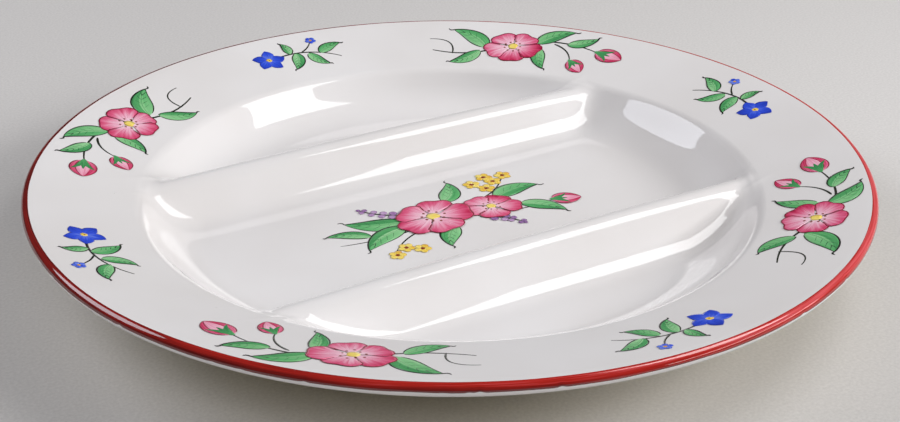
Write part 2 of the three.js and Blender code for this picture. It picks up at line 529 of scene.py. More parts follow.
@dataclass(frozen=True)
class BandFinish:
    """The red enamel of the lip, streaked and with painted light: paler on the key lamp's side as a painted
    sheen, darker away from it as painted shade, and darker at its edges and over its lower half, partly as
    pooled and sagged paint and partly as painted shade.
    """

    lip_distance: float
    # Painted light: the thin stop is reached mostly on the key lamp's side as a painted sheen, and the deep
    # stop away from it and at the edges, partly as painted shade.
    thin: Colour = (218, 90, 94)
    full: Colour = (182, 36, 28)
    deep: Colour = (104, 13, 11)
    thin_load: float = 0.10
    full_load: float = 0.42
    deep_load: float = 0.95
    mean_load: float = 0.5
    # Painted sheen and shade: with the drift, the band turns paler towards this direction, the key lamp's side,
    # and darker away from it.
    painted_sheen_side: float = math.radians(-40.0)
    drift: float = 0.36
    streak: float = 0.9
    streaks_per_metre: float = 55.0
    streak_detail: float = 3.0
    streak_width: float = 0.1
    # Partly painted shade: these two darken the lower half and both edges, partly as sagged and pooled paint
    # and partly as shade.
    sag: float = 0.6
    pool_and_painted_shade: float = 0.4
    pool_power: float = 4.0
    coat: Coat = Coat(roughness=0.04, ripple_depth=0.002 * MM, waves_per_metre=160.0, refraction=1.8)

    def material(self) -> bpy.types.Material:
        """Builds the material.

        The load falls evenly towards the lit side, which paints a sheen there and shade on the far side, and
        grows with a power of the way across, which goes from -1 at the lower edge to 1 at the upper one, so
        that the edges darken, partly as pooled paint and partly as painted shade. On the lower half it grows
        evenly too, partly because the paint sags and partly as painted shade on the face that turns down. The
        streaks' noise reads the way across too, so that it is drawn out round the dish.

        Returns:
            The new material.
        """
        material, graph = new_material("red_enamel")
        place = graph.place()
        x, y, _ = graph.parts(place)
        across = graph.held(ACROSS, "Fac")
        spread = graph.calc("MULTIPLY", across, self.streak_width)
        drawn_out = graph.add("ShaderNodeCombineXYZ", {"X": x, "Y": y, "Z": spread}).outputs[0]
        streaks = graph.noise(drawn_out, self.streaks_per_metre, self.streak_detail)
        # Painted sheen and shade: how far each point lies towards the key lamp's side.
        side = graph.dot(place, (math.cos(self.painted_sheen_side), math.sin(self.painted_sheen_side), 0.0))
        edges = graph.calc("POWER", graph.calc("ABSOLUTE", across), self.pool_power)
        load = graph.total(
            self.mean_load,
            graph.calc("MULTIPLY", side, -self.drift / self.lip_distance),
            graph.swing(streaks, self.streak),
            # Partly painted shade: darker at both edges and over the lower half, partly as pooled and sagged
            # paint.
            graph.calc("MULTIPLY", edges, self.pool_and_painted_shade),
            graph.calc("MAXIMUM", graph.calc("MULTIPLY", across, -self.sag), 0.0),
        )
        stops = ((self.thin_load, self.thin), (self.full_load, self.full), (self.deep_load, self.deep))
        self.coat.dress(graph, graph.ramp(load, stops))
        return material


@dataclass(frozen=True)
class ClayFinish:
    """The glazed foot ring, wiped to bare fired clay where it stands on the table."""

    glaze: Colour = CREAM_GLAZE
    clay: Colour = (205, 184, 158)
    dark: Colour = (168, 144, 116)
    dark_grain: float = 0.35
    clay_grain: float = 0.6
    bare_below: float = 0.7 * MM
    edge_width: float = 0.35 * MM
    grains_per_metre: float = 900.0
    grain_detail: float = 3.0
    grain_depth: float = 0.03 * MM
    glaze_roughness: float = 0.1
    clay_roughness: float = 0.85

    def material(self) -> bpy.types.Material:
        """Builds the material, which changes from clay to glaze with the height above the table.

        Returns:
            The new material.
        """
        material, graph = new_material("bare_clay")
        place = graph.place()
        grain = graph.noise(place, self.grains_per_metre, self.grain_detail)
        clay = graph.ramp(grain, ((self.dark_grain, self.dark), (self.clay_grain, self.clay)))
        _, _, height = graph.parts(place)
        wiped = graph.add("ShaderNodeMapRange", {
            "Value": graph.total(height, graph.swing(grain, self.edge_width)),
            "From Min": self.bare_below,
            "From Max": self.bare_below + self.edge_width,
        }).outputs[0]
        gloss = graph.add("ShaderNodeMapRange", {
            "Value": wiped,
            "To Min": self.clay_roughness,
            "To Max": self.glaze_roughness,
        }).outputs[0]
        bump = graph.add("ShaderNodeBump", {"Height": grain, "Distance": self.grain_depth})
        graph.surface({
            "Base Color": graph.mix(wiped, clay, self.glaze),
            "Roughness": gloss,
            "Normal": bump.outputs["Normal"],
        })
        return material


class Paint(Enum):
    """The paints of the flowers, each value naming its material."""

    ROSE = "rose_enamel"
    LEAF = "leaf_enamel"
    BLUE = "blue_enamel"
    YELLOW = "yellow_enamel"
    VIOLET = "violet_enamel"
    LINE = "line_enamel"


@dataclass(frozen=True)
class PaintFinish:
    """A translucent paint whose colour deepens with the load of the brush."""

    paint: Paint
    streak: float
    stops: Stops
    coat: Coat = Coat(roughness=0.13, ripple_depth=0.004 * MM, waves_per_metre=400.0)

    def material(self) -> bpy.types.Material:
        """Builds the material, whose colour is read from the stops by the load.

        Returns:
            The new material.
        """
        material, graph = new_material(self.paint.value)
        brush = graph.add("ShaderNodeGroup", node_tree=brush_load_group())
        brush.inputs[0].default_value = self.streak
        self.coat.dress(graph, graph.ramp(brush.outputs[0], self.stops))
        return material


PAINT_FINISHES = (
    PaintFinish(Paint.ROSE, streak=0.6, stops=(
        (0.0, (246, 214, 224)),
        (0.3, (240, 176, 198)),
        (0.58, (224, 100, 138)),
        (0.8, (200, 50, 92)),
        (1.0, (128, 14, 44)),
    )),
    PaintFinish(Paint.LEAF, streak=0.55, stops=(
        (0.0, (160, 214, 158)),
        (0.4, (98, 180, 112)),
        (0.75, (42, 124, 70)),
        (1.0, (16, 58, 36)),
    )),
    PaintFinish(Paint.BLUE, streak=0.5, stops=(
        (0.0, (138, 164, 240)),
        (0.45, (50, 82, 220)),
        (1.0, (18, 28, 128)),
    )),
    PaintFinish(Paint.YELLOW, streak=0.3, stops=(
        (0.0, (250, 234, 140)),
        (0.45, (240, 202, 76)),
        (0.75, (206, 122, 44)),
        (1.0, (138, 48, 22)),
    )),
    PaintFinish(Paint.VIOLET, streak=0.5, stops=(
        (0.0, (212, 184, 216)),
        (0.5, (160, 118, 172)),
        (1.0, (92, 58, 116)),
    )),
    PaintFinish(Paint.LINE, streak=0.6, stops=((0.0, (74, 80, 62)), (1.0, (24, 28, 22)))),
)


# The dish's shape

@dataclass(frozen=True)
class DishShape:
    """The dish's section and its ridges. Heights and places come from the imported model."""

    radius: float
    top: float
    base: float
    floor: float
    crest: float
    ridge_place: float
    well_radius: float = 92.5 * MM
    well_depth: float = 11.5 * MM
    wall_thickness: float = 4.5 * MM
    wall_angle: float = math.radians(50.0)
    lip_radius: float = 1.8 * MM
    band_film: float = 0.04 * MM
    edge_round: float = 5.8 * MM
    cove_round: float = 20.0 * MM
    under_edge_round: float = 4.0 * MM
    under_cove_round: float = 16.0 * MM
    fine_step: float = math.radians(0.5)
    arc_step: float = math.radians(2.5)
    lip_step: float = math.radians(7.5)
    longest_step: float = 2.5 * MM

    @classmethod
    def from_model(cls) -> "DishShape":
        """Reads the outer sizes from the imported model's boxes.

        Returns:
            The dish's shape.
        """
        band_low, band_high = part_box("edge_band")
        body_low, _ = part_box("dish_body")
        ridge_low, ridge_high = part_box("back_divider")
        return cls(
            radius=0.5 * (band_high[0] - band_low[0]),
            top=band_high[2],
            base=body_low[2],
            floor=ridge_low[2],
            crest=ridge_high[2],
            ridge_place=0.5 * (ridge_low[1] + ridge_high[1]),
        )

    @property
    def well_corner(self) -> np.ndarray:
        """Where the rim's top and the well's wall would meet if the edge were sharp."""
        return np.array((self.well_radius, self.floor + self.well_depth))

    @property
    def lip_centre(self) -> np.ndarray:
        """The centre of the round lip."""
        return np.array((self.radius - self.lip_radius, self.top - self.lip_radius))

    @property
    def rim_angle(self) -> float:
        """The slope of the rim's top, which runs from the well's corner to touch the round lip."""
        away = self.lip_centre - self.well_corner
        return math.atan2(away[1], away[0]) + math.asin(self.lip_radius / float(np.linalg.norm(away)))

    def upper_side(self, step: float) -> np.ndarray:
        """The rim's top, the well's edge, its wall, its cove and the floor, from the lip in to the centre.

        Args:
            step: The largest angle between two points on a round.

        Returns:
            Radius and height as rows.
        """
        rim_start = at_angle(self.lip_centre, self.lip_radius, self.rim_angle + QUARTER_TURN)
        middle = np.array((0.0, self.floor))
        edge = self.well_corner
        cove = meeting_point(edge, self.wall_angle, middle, 0.0)
        return np.concatenate((
            rim_start[None],
            rounded_corner(rim_start, edge, cove, self.edge_round, step),
            rounded_corner(edge, cove, middle, self.cove_round, step),
            middle[None],
        ))

    def under_side(self) -> np.ndarray:
        """The base, the wall beside the well's wall and the rim's underside, from the centre out to the lip.

        Returns:
            Radius and height as rows.
        """
        wall = at_angle(self.well_corner, self.wall_thickness, self.wall_angle - QUARTER_TURN)
        middle = np.array((0.0, self.base))
        rim_end = at_angle(self.lip_centre, self.lip_radius, self.rim_angle - QUARTER_TURN)
        low_corner = meeting_point(wall, self.wall_angle, middle, 0.0)
        high_corner = meeting_point(wall, self.wall_angle, rim_end, self.rim_angle)
        return np.concatenate((
            middle[None],
            rounded_corner(middle, low_corner, high_corner, self.under_cove_round, self.arc_step),
            rounded_corner(low_corner, high_corner, rim_end, self.under_edge_round, self.arc_step),
        ))

    def outline(self) -> np.ndarray:
        """The whole section from the centre of the base, round the lip, to the centre of the floor.

        Returns:
            Radius and height as rows.
        """
        bare_lip = self.lip_radius - self.band_film
        lip = arc(self.lip_centre, bare_lip, self.rim_angle - QUARTER_TURN, math.pi, self.lip_step)
        whole = np.concatenate((self.under_side(), lip, self.upper_side(self.arc_step)[1:]))
        return refined(whole, self.longest_step)

    def height(self, distance: np.ndarray) -> np.ndarray:
        """The height of the rim, wall and floor, without the ridges, at distances from the centre."""
        side = self.upper_side(self.fine_step)[::-1]
        return np.interp(distance, side[:, 0], side[:, 1])


# Pieces

@dataclass(frozen=True)
class GlazedBody:
    """The turned body of the dish."""

    shape: DishShape
    finish: bpy.types.Material
    cream_reach: float = 8.0 * MM
    steps: int = 384

    def build(self) -> bpy.types.Object:
        """Turns the dish's section about Z, with a fan of triangles at each of its two poles.

        The mesh holds a 0 on the upper side and, from the widest place inwards, up to 1 on the under side.

        Returns:
            The piece.
        """
        outline = self.shape.outline()
        rings = turned_grid(outline[1:-1], self.steps)
        rows = len(rings)
        poles = np.array([(0.0, 0.0, height) for height in outline[[0, -1], 1]])
        low_pole, high_pole = rows * self.steps + np.arange(2)
        here = np.arange(self.steps)
        there = np.roll(here, -1)
        last = (rows - 1) * self.steps
        low_fan = np.stack((np.full(self.steps, low_pole), there, here), axis=1)
        high_fan = np.stack((np.full(self.steps, high_pole), last + here, last + there), axis=1)
        piece = new_piece("dish_body_glazed", np.concatenate((rings.reshape(-1, 3), poles)),
                          [ring_faces(rows, self.steps, closed=False), low_fan, high_fan],
                          self.finish, "dish_body")
        radius = outline[1:-1, 0]
        below = np.arange(rows) < np.argmax(radius)
        cream = below * smooth_step(radius.max() - radius, 0.0, self.cream_reach)
        low_pole_cream, high_pole_cream = 1.0, 0.0
        hold(piece, UNDER, np.append(np.repeat(cream, self.steps), (low_pole_cream, high_pole_cream)))
        return piece


@dataclass(frozen=True)
class Ridge:
    """A ridge that runs across the well and flows into its floor and wall."""

    shape: DishShape
    finish: bpy.types.Material
    node: str
    side: float
    crest_round: float = 5.6 * MM
    flank_angle: float = math.radians(55.0)
    crown: float = 0.9 * MM
    half_length: float = 92.0 * MM
    half_width: float = 24.0 * MM
    grid_step: float = 0.55 * MM
    crest_blend: float = 4.7 * MM
    foot_blend: float = 8.5 * MM
    blend_drop: float = 8.1 * MM
    least_slope: float = 0.3
    tuck: float = 0.004 * MM
    tuck_rise: float = 0.01 * MM
    sink_slope: float = 0.06
    sink_most: float = 0.3 * MM
    depth: float = 0.9 * MM

    def height(self, x: np.ndarray, across: np.ndarray) -> np.ndarray:
        """The ridge alone: a round crest with straight flanks that go on below the floor.

        Within R sin a of the middle the height over the floor is H - R + sqrt(R^2 - d^2), further out it
        falls along a line at the flank's angle a, and the whole sinks towards the ends with the square of x.

        Args:
            x: Places along the ridge.
            across: Distances from the ridge's middle line.

        Returns:
            Heights over the table.
        """
        shape = self.shape
        rise = shape.crest - shape.floor
        away = np.abs(across)
        bend = self.crest_round * math.sin(self.flank_angle)
        top = np.sqrt(self.crest_round**2 - np.minimum(away, bend) ** 2)
        line = np.maximum(away - bend, 0.0) * math.tan(self.flank_angle)
        crest_length = math.sqrt(shape.well_radius**2 - shape.ridge_place**2)
        sink = self.crown / rise * (x / crest_length) ** 2
        return shape.floor + (rise - self.crest_round + top - line) * (1.0 - sink)

    def build(self) -> bpy.types.Object:
        """Blends the ridge with the dish by a smooth maximum, and closes it just under the dish's surface.

        The maximum's reach in height is a distance on the ground times the difference of the two slopes, so
        that floor and wall get rounds of one size. The distance grows from the crest down to the ridge's
        foot. Where the ridge no longer lifts the surface, the skin dips out of sight under the body's glaze.

        Returns:
            The piece.
        """
        shape = self.shape
        along, across = (np.linspace(-half, half, round(2.0 * half / self.grid_step))
                         for half in (self.half_length, self.half_width))
        x, offset = np.meshgrid(along, across, indexing="ij")
        y = self.side * shape.ridge_place + offset
        body = shape.height(np.hypot(x, y))
        ridge = self.height(x, offset)
        drop = shape.well_corner[1] - 0.5 * (body + ridge)
        to_foot = smooth_step(drop, 0.0, self.blend_drop)
        slope = np.hypot(*np.gradient(body - ridge, along, across))
        reach = self.crest_blend + (self.foot_blend - self.crest_blend) * to_foot
        blend = reach * np.maximum(slope, self.least_slope)
        joined = smooth_max(body, ridge, blend)
        beyond = np.maximum(body - ridge - blend, 0.0)
        hidden = self.tuck * (1.0 - smooth_step(joined - body, 0.0, self.tuck_rise))
        hidden += np.minimum(self.sink_slope * beyond, self.sink_most)
        top = np.stack((x, y, joined - hidden), axis=-1)
        low = np.stack((x, y, body - self.depth), axis=-1)
        places, quads = closed_sheet(top, low)
        return new_piece(self.node + "_glazed", places, [quads], self.finish, self.node)


@dataclass(frozen=True)
class FootRing:
    """The ring that the dish stands on."""

    shape: DishShape
    finish: bpy.types.Material
    width: float = 6.0 * MM
    taper: float = 0.8 * MM
    edge_round: float = 0.6 * MM
    root: float = 0.4 * MM
    arc_step: float = math.radians(10.0)
    steps: int = 256

    def build(self) -> bpy.types.Object:
        """Turns the ring's tapered section about Z. Its root goes a little way up into the body.

        Returns:
            The piece.
        """
        low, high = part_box("foot_ring")
        outer = 0.5 * (high[0] - low[0])
        inner = outer - self.width
        top = self.shape.base
        outer_top, inner_top = np.array((outer, top)), np.array((inner, top))
        outer_low, inner_low = np.array((outer - self.taper, low[2])), np.array((inner + self.taper, low[2]))
        outline = np.concatenate((
            [(inner, top + self.root), inner_top],
            rounded_corner(inner_top, inner_low, outer_low, self.edge_round, self.arc_step),
            rounded_corner(inner_low, outer_low, outer_top, self.edge_round, self.arc_step),
            [outer_top, (outer, top + self.root)],
        ))
        rings = turned_grid(outline, self.steps).reshape(-1, 3)
        faces = ring_faces(len(outline), self.steps, closed=True)
        return new_piece("foot_ring_wiped", rings, [faces], self.finish, "foot_ring")


@dataclass(frozen=True)
class EdgeBand:
    """The red band on the lip, brushed on by hand, so that its edges waver and its lower edge has nicks."""

    shape: DishShape
    finish: bpy.types.Material
    low_angle: float = math.radians(-6.0)
    high_angle: float = math.radians(103.0)
    low_waver: float = math.radians(4.0)
    high_waver: float = math.radians(2.5)
    slowest_wave: int = 5
    fastest_wave: int = 60
    wave_step: int = 4
    least_wave: float = 0.3
    wave_gain: float = 2.0
    nick_count: int = 46
    nick_height: float = math.radians(11.0)
    nick_width: float = 0.9 * MM
    least_nick: float = 0.2
    skin: float = 0.006 * MM
    edge_under: float = 0.05 * MM
    back_under: float = 0.1 * MM
    dip_power: int = 8
    steps: int = 1536
    face_rows: int = 17
    back_rows: int = 5
    back_share: float = 0.9
    seed: int = 11

    def waver(self, angles: np.ndarray, dice: np.random.Generator) -> np.ndarray:
        """A hand's waver round the dish: a sum of sines with whole numbers of waves, scaled to about -1 to 1.

        Args:
            angles: Angles round the dish.
            dice: The dice for the waves' phases and sizes.

        Returns:
            The waver at each angle.
        """
        waves = np.arange(self.slowest_wave, self.fastest_wave, self.wave_step)
        phases = dice.uniform(0.0, FULL_TURN, len(waves))
        sizes = dice.uniform(self.least_wave, 1.0, len(waves)) / np.sqrt(waves)
        shares = sizes / sizes.sum()
        return self.wave_gain * (np.sin(waves * angles[:, None] + phases) * shares).sum(axis=1)

    def edges(self, angles: np.ndarray) -> tuple[np.ndarray, np.ndarray]:
        """Where the band's edges lie on the round lip. Each nick lifts the lower edge as a bell curve.

        Args:
            angles: Angles round the dish.

        Returns:
            The angles of the lower and the upper edge about the lip's centre.
        """
        dice = np.random.default_rng(self.seed)
        nick_places = dice.uniform(0.0, FULL_TURN, self.nick_count)
        nick_sizes = dice.uniform(self.least_nick, 1.0, self.nick_count)
        gaps = (angles[:, None] - nick_places + math.pi) % FULL_TURN - math.pi
        nicks = (nick_sizes * np.exp(-((gaps * self.shape.radius / self.nick_width) ** 2))).sum(axis=1)
        low = self.low_angle + self.low_waver * self.waver(angles, dice) + self.nick_height * nicks
        return low, self.high_angle + self.high_waver * self.waver(angles, dice)

    def build(self) -> bpy.types.Object:
        """Carries the band's thin section round the lip, with edges that waver along the way.

        On the face the distance from the lip's centre is the lip's radius less a skin, and it dips under the
        glaze towards both edges as a high power of the way across. The back lies under the glaze.

        Returns:
            The piece.
        """
        shape = self.shape
        angles = np.linspace(0.0, FULL_TURN, self.steps, endpoint=False)
        low, high = self.edges(angles)
        face = np.linspace(-1.0, 1.0, self.face_rows)
        back = np.linspace(self.back_share, -self.back_share, self.back_rows)
        face_depth = self.skin + (shape.band_film + self.edge_under) * face**self.dip_power
        back_depth = np.full(self.back_rows, shape.band_film + self.back_under)
        way = np.concatenate((face, back))
        turn = 0.5 * (low + high) + 0.5 * (high - low) * way[:, None]
        reach = shape.lip_radius - np.concatenate((face_depth, back_depth))[:, None]
        radius = shape.lip_centre[0] + reach * np.cos(turn)
        height = shape.lip_centre[1] + reach * np.sin(turn)
        rings = np.stack((radius * np.cos(angles), radius * np.sin(angles), height), axis=-1)
        faces = ring_faces(len(way), self.steps, closed=True)
        piece = new_piece("edge_band_brushed", rings.reshape(-1, 3), [faces], self.finish,
                          "edge_band")
        hold(piece, ACROSS, np.repeat(way, self.steps))
        return piece


# Flowers, drawn in millimetres on a flat sheet and then laid on the dish

class Load(float, Enum):
    """How full the brush is, from its palest paint to its darkest."""

    FAINT = 0.1
    LIGHT = 0.25
    MIDDLE = 0.5
    RICH = 0.75
    DARK = 0.95
    FULL = 1.0


class Pen(float, Enum):
    """Widths of the drawn lines, in millimetres."""

    STEM = 0.8
    BRANCH = 0.66
    TENDRIL = 0.5
    OUTLINE = 0.46
    VEIN = 0.3
    HAIR = 0.2


@dataclass(frozen=True)
class Stroke:
    """One stroke of the brush: a grid of points on the sheet, with its paint and how it is loaded."""

    plan: np.ndarray
    paint: Paint
    level: float
    tone: float
    blend: float
    own: float


def bend_between(start: Point | np.ndarray, end: Point | np.ndarray, bulge: float, count: int) -> np.ndarray:
    """A curve that bulges to its left: C(s) = start + (end - start) s + 4 bulge s (1 - s) left.

    Args:
        start: The first point.
        end: The last point.
        bulge: How far the middle lies to the left of the straight line, as a share of its length.
        count: The number of points.

    Returns:
        Points as rows.
    """
    start, end = np.asarray(start, dtype=float), np.asarray(end, dtype=float)
    way = np.linspace(0.0, 1.0, count)[:, None]
    left = np.array((start[1] - end[1], end[0] - start[0]))
    return start + (end - start) * way + 4.0 * bulge * way * (1.0 - way) * left


def along_path(path: np.ndarray, half_width: np.ndarray, columns: int) -> np.ndarray:
    """A ribbon on a path: P(s, t) = C(s) + N(s) w(s) t, with N the path's left side and t from -1 to 1.

    Args:
        path: Points as rows.
        half_width: Half the ribbon's width at each point.
        columns: Points across the ribbon.

    Returns:
        Points as a grid, along the path and then across.
    """
    ahead = np.gradient(path, axis=0)
    ahead /= np.linalg.norm(ahead, axis=1, keepdims=True)
    left = np.stack((-ahead[:, 1], ahead[:, 0]), axis=1)
    across = np.linspace(-1.0, 1.0, columns)
    return path[:, None] + (left * half_width[:, None])[:, None] * across[:, None]


@dataclass
class Brush:
    """Paints strokes on a flat sheet, each a little above the one before, with all lengths in millimetres."""

    seed: int
    strokes: list[Stroke] = field(default_factory=list)
    first_level: float = 0.010
    level_step: float = 0.0012
    most_own: float = 90.0
    thinnest: float = 0.03
    line_columns: int = 3
    line_start: float = 0.35
    line_swell: float = 8.0
    line_fall: float = 0.85
    blade_columns: int = 9
    blade_power: float = 0.85
    dot_rows: int = 5

    def __post_init__(self) -> None:
        """Starts the brush's own dice."""
        self.dice = np.random.default_rng(self.seed)

    def lay(self, plan: np.ndarray, paint: Paint, tone: float, blend: float) -> None:
        """Adds a stroke on top of all those before it.

        Args:
            plan: The stroke's points as a grid.
            paint: The stroke's paint.
            tone: The brush's load at the stroke's start.
            blend: How much the load grows along the stroke.
        """
        level = self.first_level + self.level_step * len(self.strokes)
        own = self.dice.uniform(0.0, self.most_own)
        self.strokes.append(Stroke(plan, paint, level, float(tone), float(blend), own))

    def line(self, path: np.ndarray, width: float, tone: float, paint: Paint = Paint.LINE) -> None:
        """Draws a line that swells quickly from its start and then thins to its end.

        Half its width is w/2 sqrt(1 - fall s), times start + swell s until that reaches 1.

        Args:
            path: Points as rows.
            width: The line's width at its thickest.
            tone: The brush's load.
            paint: The line's paint.
        """
        way = np.linspace(0.0, 1.0, len(path))
        swell = np.minimum(1.0, self.line_start + self.line_swell * way)
        half = 0.5 * width * np.sqrt(1.0 - self.line_fall * way) * swell
        self.lay(along_path(path, half + self.thinnest, self.line_columns), paint, tone, 0.0)

    def dot(self, centre: Point | np.ndarray, radius: float, paint: Paint, tone: float) -> None:
        """Dabs a round dot: a square grid (a, b) pulled to a disc by x = a sqrt(1 - b^2 / 2) and likewise y.

        Args:
            centre: The dot's centre.
            radius: Its radius.
            paint: Its paint.
            tone: The brush's load.
        """
        way = np.linspace(-1.0, 1.0, self.dot_rows)
        a, b = np.meshgrid(way, way, indexing="ij")
        disc = np.stack((a * np.sqrt(1.0 - 0.5 * b * b), b * np.sqrt(1.0 - 0.5 * a * a)), axis=-1)
        self.lay(np.asarray(centre) + radius * disc, paint, tone, Load.LIGHT)

    def blade(self, path: np.ndarray, width: float, fullness: float) -> np.ndarray:
        """A pointed blade: a ribbon whose half width is w/2 sin(pi s^f)^p, so f moves its widest place.

        Args:
            path: The blade's middle line.
            width: Its greatest width.
            fullness: Below 1 the widest place is near the start, and above 1 near the end.

        Returns:
            Points as a grid.
        """
        way = np.linspace(0.0, 1.0, len(path))
        half = 0.5 * width * np.sin(np.pi * way**fullness) ** self.blade_power
        return along_path(path, half + self.thinnest, self.blade_columns)


class Painted(Protocol):
    """A stem, leaf or flower that a brush can paint."""

    def paint(self, brush: Brush) -> None:
        """Adds its strokes to the brush's sheet."""


@dataclass(frozen=True)
class Stem:
    """A bent stem, drawn as one line."""

    foot: Point
    tip: Point
    bulge: float
    pen: Pen
    rows: int = 14

    def path(self) -> np.ndarray:
        """The stem's middle line."""
        return bend_between(self.foot, self.tip, self.bulge, self.rows)

    def paint(self, brush: Brush) -> None:
        """Draws the stem."""
        brush.line(self.path(), self.pen, Load.RICH)


@dataclass(frozen=True)
class Leaf:
    """A leaf with a shaded half, a midrib, side veins and an outline that ends in a hook."""

    foot: Point
    tip: Point
    width: float
    bulge: float
    rows: int = 20
    fullness: float = 0.75
    pale_tones: Span = (0.05, 0.2)
    pale_blend: float = 0.3
    shade_tones: Span = (0.4, 0.52)
    shade_blend: float = 0.15
    midrib_end: int = -2
    bare_foot: int = 5
    bare_tip: int = 4
    vein_step: int = 3
    vein_ends: tuple[int, int] = (1, -2)
    vein_rows: int = 5
    hook_share: float = 0.28
    hook_bulge: float = 0.3
    hook_rows: int = 6

    def paint(self, brush: Brush) -> None:
        """Lays the pale blade, its shaded half, the veins and the outline.

        Args:
            brush: The brush.
        """
        path = bend_between(self.foot, self.tip, self.bulge, self.rows)
        plan = brush.blade(path, self.width, self.fullness)
        brush.lay(plan, Paint.LEAF, brush.dice.uniform(*self.pale_tones), self.pale_blend)
        shaded_half = plan[:, : plan.shape[1] // 2 + 1]
        brush.lay(shaded_half, Paint.LEAF, brush.dice.uniform(*self.shade_tones), self.shade_blend)
        brush.line(path[: self.midrib_end], Pen.VEIN, Load.MIDDLE)
        for row in range(self.bare_foot, self.rows - self.bare_tip, self.vein_step):
            for end in self.vein_ends:
                vein = bend_between(path[row], plan[row + self.vein_step, end], 0.0, self.vein_rows)
                brush.line(vein, Pen.HAIR, Load.DARK, Paint.LEAF)
        ahead = (path[-1] - path[-2]) / np.linalg.norm(path[-1] - path[-2])
        hook_end = path[-1] + self.hook_share * self.width * ahead
        hook = bend_between(path[-1], hook_end, math.copysign(self.hook_bulge, -self.bulge), self.hook_rows)
        brush.line(np.concatenate((plan[:-1, 0], hook))[::-1], Pen.OUTLINE, Load.DARK)
        brush.line(plan[1:, -1], Pen.VEIN, Load.RICH)


@dataclass(frozen=True)
class Rose:
    """An open rose with a yellow heart and a ring of stamens, wider in one direction than across it."""

    centre: Point
    radius: float
    squash: float
    turn: float
    petals: int = 5
    petal_stride: int = 2
    petal_sway: Span = (-0.1, 0.1)
    petal_lengths: Span = (0.92, 1.06)
    petal_root: float = 0.1
    petal_spread: float = 0.7
    root_spread: float = 0.55
    side_fall: float = 0.3
    side_power: int = 3
    notch_depths: Span = (0.05, 0.13)
    notch_width: float = 0.3
    rows: int = 20
    columns: int = 13
    vein_columns: tuple[int, ...] = (4, 6, 8)
    vein_foot: int = 5
    vein_tip: int = -3
    heart_tones: Span = (-0.05, 0.1)
    edge_blends: Span = (0.6, 0.85)
    heart_share: float = 0.17
    stamens: int = 9
    stamen_reach: float = 0.26
    stamen_lengths: Span = (0.85, 1.2)
    stamen_share: float = 0.035

    def petal(self, angle: float, reach: float, notch: float) -> np.ndarray:
        """A broad petal with a rounded and notched edge.

        The radius grows as R s e(t), with e falling towards the petal's two sides and dipping in its middle.
        The angle is a + t times the spread, which grows along the petal with sqrt(s).

        Args:
            angle: The petal's direction.
            reach: Its length.
            notch: The depth of its notch, as a share of its length.

        Returns:
            Points as a grid, from the heart out and then across.
        """
        s = np.linspace(0.0, 1.0, self.rows)[:, None]
        t = np.linspace(-1.0, 1.0, self.columns)
        sides = self.side_fall * np.abs(t) ** self.side_power
        edge = 1.0 - sides - notch * np.exp(-((t / self.notch_width) ** 2))
        spread = self.petal_spread * (self.root_spread + (1.0 - self.root_spread) * np.sqrt(s))
        radius = reach * (self.petal_root + (1.0 - self.petal_root) * s * edge)
        angles = angle + spread * t
        flat = np.stack((radius * np.cos(angles), self.squash * radius * np.sin(angles)), axis=-1)
        cos, sin = math.cos(self.turn), math.sin(self.turn)
        return np.asarray(self.centre) + flat @ np.array(((cos, sin), (-sin, cos)))

    def paint(self, brush: Brush) -> None:
        """Lays the petals, every second one first, with their outlines and veins, and then heart and stamens.

        Args:
            brush: The brush.
        """
        first = brush.dice.uniform(0.0, FULL_TURN)
        half = self.rows // 2
        for number in range(self.petals):
            steps = self.petal_stride * number
            angle = first + steps * FULL_TURN / self.petals + brush.dice.uniform(*self.petal_sway)
            reach = self.radius * brush.dice.uniform(*self.petal_lengths)
            plan = self.petal(angle, reach, brush.dice.uniform(*self.notch_depths))
            tone = brush.dice.uniform(*self.heart_tones)
            brush.lay(plan, Paint.ROSE, tone, brush.dice.uniform(*self.edge_blends))
            around = np.concatenate((plan[half:, 0], plan[-1, 1:-1], plan[:half:-1, -1]))
            brush.line(around, Pen.OUTLINE, Load.FULL, Paint.ROSE)
            for column in self.vein_columns:
                vein = plan[self.vein_foot : self.vein_tip, column]
                brush.line(vein[::-1], Pen.HAIR, Load.RICH, Paint.ROSE)
        brush.dot(self.centre, self.heart_share * self.radius, Paint.YELLOW, Load.FAINT)
        for number in range(self.stamens):
            away = self.stamen_reach * self.radius * brush.dice.uniform(*self.stamen_lengths)
            place = at_angle(self.centre, away, number * FULL_TURN / self.stamens)
            brush.dot(place, self.stamen_share * self.radius, Paint.YELLOW, Load.DARK)


